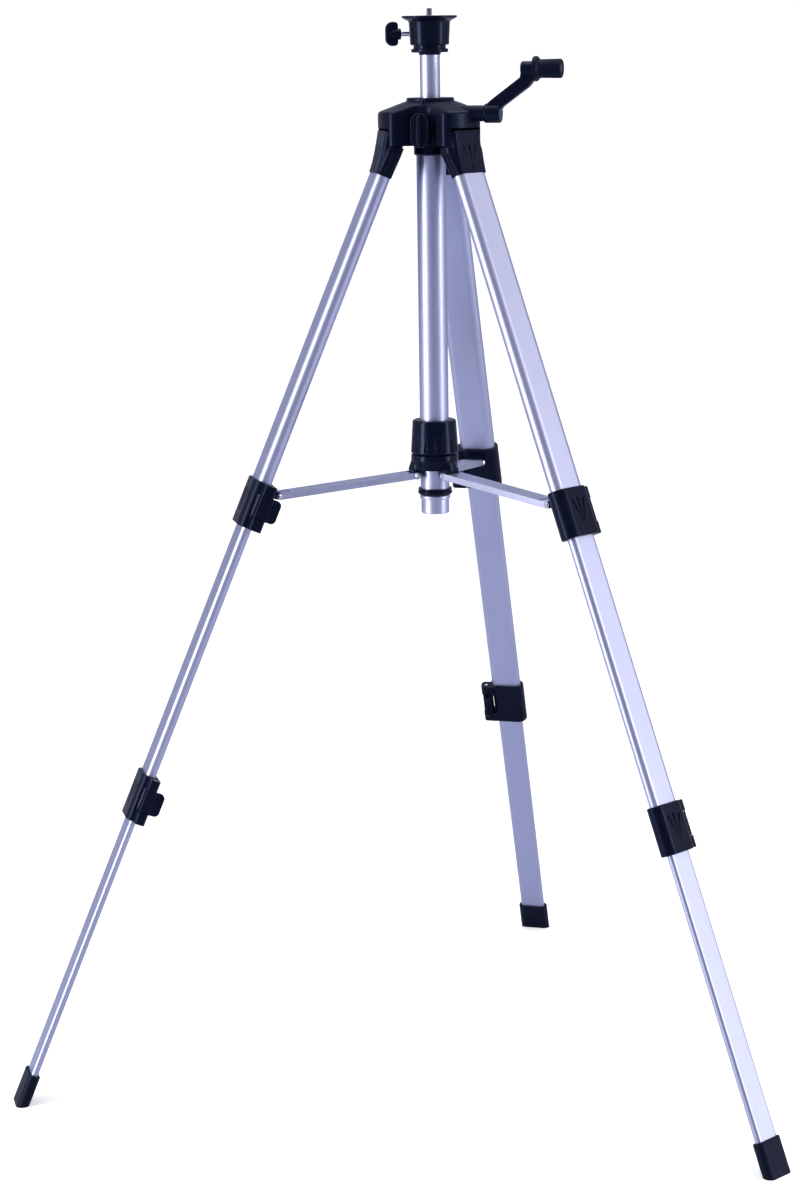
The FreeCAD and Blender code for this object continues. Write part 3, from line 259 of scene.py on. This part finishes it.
def rubber(name):
    """Matt rubber with a coarse grain and ground-in dust near the sole."""
    tree = Tree(name)
    where = tree.place()
    grain = tree.noise(where, 1100, 4, 0.65)
    split = tree.nodes.new("ShaderNodeSeparateXYZ")
    tree.links.new(where, split.inputs[0])
    low = tree.span(split.outputs[2], 0.0, 10 * MM, 1.0, 0.0)
    dust = tree.math("MULTIPLY", low, tree.span(tree.noise(where, 260, 4, 0.7), 0.4, 0.7, 0.05, 0.5))
    colour = tree.mix(dust, BLACK_RUBBER, DUST)
    normal = tree.bump(grain, 0.08 * MM, 0.5, tree.soft_edges(1.0 * MM))
    return tree.finish(Base_Color=colour, Normal=normal, Specular_IOR_Level=0.25,
                       Specular_Tint=COOL_SHEEN,
                       Roughness=tree.span(grain, 0.3, 0.7, 0.40, 0.55))


# ---------------------------------------------------------------- the instrument screw

def screw():
    """A 1/4 in-20 thread with a chamfered crest and a small seat where it leaves the platform."""
    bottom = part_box("instrument_screw")[0][2]
    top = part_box("instrument_screw")[1][2]
    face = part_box("platform")[1][2]
    major = 0.5 * INCH / 4
    pitch = INCH / 20
    depth = 0.54 * pitch
    flank, crest_flat = 2.6, 0.15
    lead_in, lead_slope = 0.55 * MM, 0.9
    seat_round, seat_high = 1.35 * major, 0.9 * MM
    around, steps = 40, 10
    rings = int((top - bottom) / pitch * steps)

    def radius(turn_share, level):
        wave = (level / pitch - turn_share) % 1.0
        groove = min(1.0, max(0.0, flank * abs(wave - 0.5) - crest_flat))
        crest = major - depth * groove
        chamfer = major - lead_in + (top - level) * lead_slope
        if face <= level < face + seat_high:
            return max(crest, seat_round - (level - face) / seat_high * (seat_round - major))
        return min(crest, chamfer)

    mesh = bmesh.new()
    loops = []
    for i in range(rings + 1):
        level = bottom + (top - bottom) * i / rings
        loop = []
        for k in range(around):
            angle = 2 * math.pi * k / around
            out = radius(k / around, level)
            loop.append(mesh.verts.new((out * math.cos(angle), out * math.sin(angle), level)))
        loops.append(loop)
    for under, over in zip(loops, loops[1:]):
        for k in range(around):
            n = (k + 1) % around
            mesh.faces.new((under[k], under[n], over[n], over[k]))
    mesh.faces.new(list(reversed(loops[0])))
    mesh.faces.new(loops[-1])
    data = bpy.data.meshes.new("threaded_screw")
    mesh.to_mesh(data)
    mesh.free()
    piece = bpy.data.objects.new("threaded_screw", data)
    bpy.context.scene.collection.objects.link(piece)
    piece.data.materials.append(bright_metal("screw_steel", SCREW_STEEL, 0.22, edge=0.1 * MM))
    for polygon in piece.data.polygons:
        polygon.use_smooth = True
    piece.data.set_sharp_from_angle(angle=math.radians(50))
    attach(piece, "platform")
    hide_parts("instrument_screw")


# ---------------------------------------------------------------- finishes on the CAD pieces

def tube_axis(node):
    """The direction of a leg tube, from where its ends lie."""
    points = [v.co for v in frame["nodes"][node].data.vertices]
    high = max(p.z for p in points)
    low = min(p.z for p in points)
    slack = 0.02 * (high - low)
    ends = []
    for level in (high, low):
        near = [p for p in points if abs(p.z - level) < slack]
        ends.append(sum(near, Vector()) / len(near))
    return (ends[0] - ends[1]).normalized()


def paint(node, material):
    """Gives a CAD node its one material and smooth shading between its hard edges."""
    target = frame["nodes"][node]
    target.data.materials.clear()
    target.data.materials.append(material)
    for face in target.data.polygons:
        face.use_smooth = True
    target.data.set_sharp_from_angle(angle=ROUNDED)


def dress():
    """One finish for every CAD node."""
    satin = moulding("satin_black")
    gloss = moulding("gloss_black", rough=0.22, grain=0.12, sheen=0.27)
    grip = moulding("grip_black", rough=0.38, grain=0.5, sheen=0.2)
    steel = bright_metal("turned_steel", TURNED_STEEL, 0.25)
    plate = bright_metal("bright_plate", BRIGHT_PLATE, 0.10)
    dark_steel = bright_metal("dark_steel", DARK_STEEL, 0.30)
    brass = bright_metal("gear_brass", BRASS, 0.25)
    channel = bright_metal("brace_channel", CHANNEL_ALLOY, 0.30, ripple=500)
    upright = anodised("column_satin", UP, COLUMN_ALLOY, 0.42)
    polished = anodised("pole_satin", UP, POLE_ALLOY, 0.38)
    sole = rubber("foot_rubber")
    for leg in LEGS:
        for stage in ("upper", "middle", "lower"):
            node = "%s_tube_%s" % (stage, leg)
            paint(node, anodised("anodised_" + node, tube_axis(node)))
        for level in ("upper", "lower"):
            paint("%s_collar_%s" % (level, leg), satin)
            paint("%s_lever_%s" % (level, leg), satin)
            paint("%s_lever_pin_%s" % (level, leg), steel)
        paint("leg_socket_" + leg, satin)
        paint("foot_" + leg, sole)
        paint("brace_arm_" + leg, channel)
        paint("brace_rivets_" + leg, plate)
    others = {
        satin: ("head_housing", "platform_knob"),
        gloss: ("platform", "spreader_hub", "lock_nut", "stop_ring", "lock_knob", "crank_arm"),
        grip: ("crank_grip", "pole_rack"),
        steel: ("leg_hinge_pins", "lock_stud", "crank_shaft"),
        plate: ("hub_rivets", "platform_knob_shaft"),
        dark_steel: ("instrument_screw", "grip_bolt"),
        brass: ("pinion",),
        upright: ("column_tube",),
        polished: ("pole_tube", "column_end_plug"),
    }
    for material, names in others.items():
        for node in names:
            paint(node, material)


# ---------------------------------------------------------------- studio

def paper(name, seen, mirrored, glow):
    """Backdrop paper: white and faintly lit to the camera, greyer and bluer in the metals."""
    tree = Tree(name)
    straight = tree.nodes.new("ShaderNodeLightPath").outputs["Is Camera Ray"]
    return tree.finish(Base_Color=tree.mix(straight, mirrored, seen), Roughness=0.9, Emission_Color=seen,
                       Emission_Strength=tree.math("MULTIPLY", straight, glow))


def backdrop():
    """A white floor that sweeps up into a wall behind the object."""
    front, back, bend, top, half = -9.0, 4.5, 2.5, 7.0, 14.0
    steps = 16
    profile = [(front, 0.0), (back - bend, 0.0)]
    for i in range(1, steps + 1):
        angle = math.radians(90) * i / steps
        profile.append((back - bend + bend * math.sin(angle), bend - bend * math.cos(angle)))
    profile.append((back, top))
    mesh = bpy.data.meshes.new("backdrop")
    points = [(side * half, y, z) for y, z in profile for side in (-1, 1)]
    faces = [(2 * i, 2 * i + 1, 2 * i + 3, 2 * i + 2) for i in range(len(profile) - 1)]
    mesh.from_pydata(points, [], faces)
    for polygon in mesh.polygons:
        polygon.use_smooth = True
    item = bpy.data.objects.new("backdrop", mesh)
    bpy.context.scene.collection.objects.link(item)
    item.data.materials.append(paper("backdrop_white", PAPER_WHITE, PAPER_MIRRORED, 0.42))


def world():
    """Light from all about, dimmer on the camera's side, and plain white where the camera sees it."""
    sky = bpy.data.worlds.new("studio")
    sky.use_nodes = True
    bpy.context.scene.world = sky
    nodes, links = sky.node_tree.nodes, sky.node_tree.links
    nodes.clear()
    output = nodes.new("ShaderNodeOutputWorld")
    around = nodes.new("ShaderNodeBackground")
    around.inputs["Strength"].default_value = 0.92
    where = nodes.new("ShaderNodeTexCoord")
    split = nodes.new("ShaderNodeSeparateXYZ")
    links.new(where.outputs["Generated"], split.inputs[0])
    ramp = nodes.new("ShaderNodeValToRGB")
    ramp.color_ramp.interpolation = "EASE"
    ramp.color_ramp.elements[0].position = 0.02
    ramp.color_ramp.elements[0].color = (*ROOM_DARK, 1)
    ramp.color_ramp.elements[1].position = 0.45
    ramp.color_ramp.elements[1].color = (*ROOM_BRIGHT, 1)
    shift = nodes.new("ShaderNodeMapRange")
    shift.inputs[1].default_value = -1
    shift.inputs[2].default_value = 1
    links.new(split.outputs[1], shift.inputs[0])
    links.new(shift.outputs[0], ramp.inputs[0])
    links.new(ramp.outputs[0], around.inputs["Color"])
    seen = nodes.new("ShaderNodeBackground")
    seen.inputs["Color"].default_value = (1.0, 1.0, 1.0, 1)
    straight = nodes.new("ShaderNodeLightPath")
    either = nodes.new("ShaderNodeMixShader")
    links.new(straight.outputs["Is Camera Ray"], either.inputs[0])
    links.new(around.outputs[0], either.inputs[1])
    links.new(seen.outputs[0], either.inputs[2])
    links.new(either.outputs[0], output.inputs["Surface"])


def softbox(name, place, target, wide, high, watts, colour=(1, 1, 1)):
    """A rectangular light that faces a target, sized in metres."""
    data = bpy.data.lights.new(name, "AREA")
    data.shape = "RECTANGLE"
    data.size = wide
    data.size_y = high
    data.energy = watts
    data.color = colour
    item = bpy.data.objects.new(name, data)
    bpy.context.scene.collection.objects.link(item)
    item.location = place
    item.rotation_euler = (Vector(target) - Vector(place)).to_track_quat("-Z", "Y").to_euler()
    return item


def studio():
    """A white sweep, two tall strips that draw the tubes' highlights, and a wide light above."""
    backdrop()
    world()
    low, high = CAD_BOX
    middle = Vector((0, 0, 0.5 * (low[2] + high[2])))
    softbox("left_strip", (-3.3, -1.7, 1.1), middle, 0.8, 3.0, 95, COOL_LIGHT)
    softbox("right_strip", (3.4, -1.2, 1.3), middle, 0.6, 2.2, 36, COOL_LIGHT)
    softbox("top_box", (0.0, 0.6, 3.6), middle, 3.0, 3.0, 42)
    bpy.context.scene.view_settings.view_transform = "Standard"


def camera():
    """Level with the platform, three metres in front and looking slightly down."""
    lens, frame_side = 83.192, 36.0  # millimetres, across the picture's longer side
    place = Vector((0.0, -3.0526, 1.1793))
    pitch, yaw, roll = (math.radians(a) for a in (11.499, -0.778, -0.870))
    ahead = Vector((math.sin(yaw) * math.cos(pitch), math.cos(yaw) * math.cos(pitch), -math.sin(pitch)))
    right = Vector((math.cos(yaw), -math.sin(yaw), 0.0))
    up = right.cross(ahead)
    side = math.cos(roll) * right + math.sin(roll) * up
    top = math.cos(roll) * up - math.sin(roll) * right
    data = bpy.data.cameras.new("camera")
    data.sensor_width = frame_side
    data.lens = lens
    item = bpy.data.objects.new("camera", data)
    bpy.context.scene.collection.objects.link(item)
    turn = Matrix((side, top, -ahead)).transposed()
    item.matrix_world = Matrix.Translation(place) @ turn.to_4x4()
    bpy.context.scene.camera = item


dress()
screw()
studio()
camera()
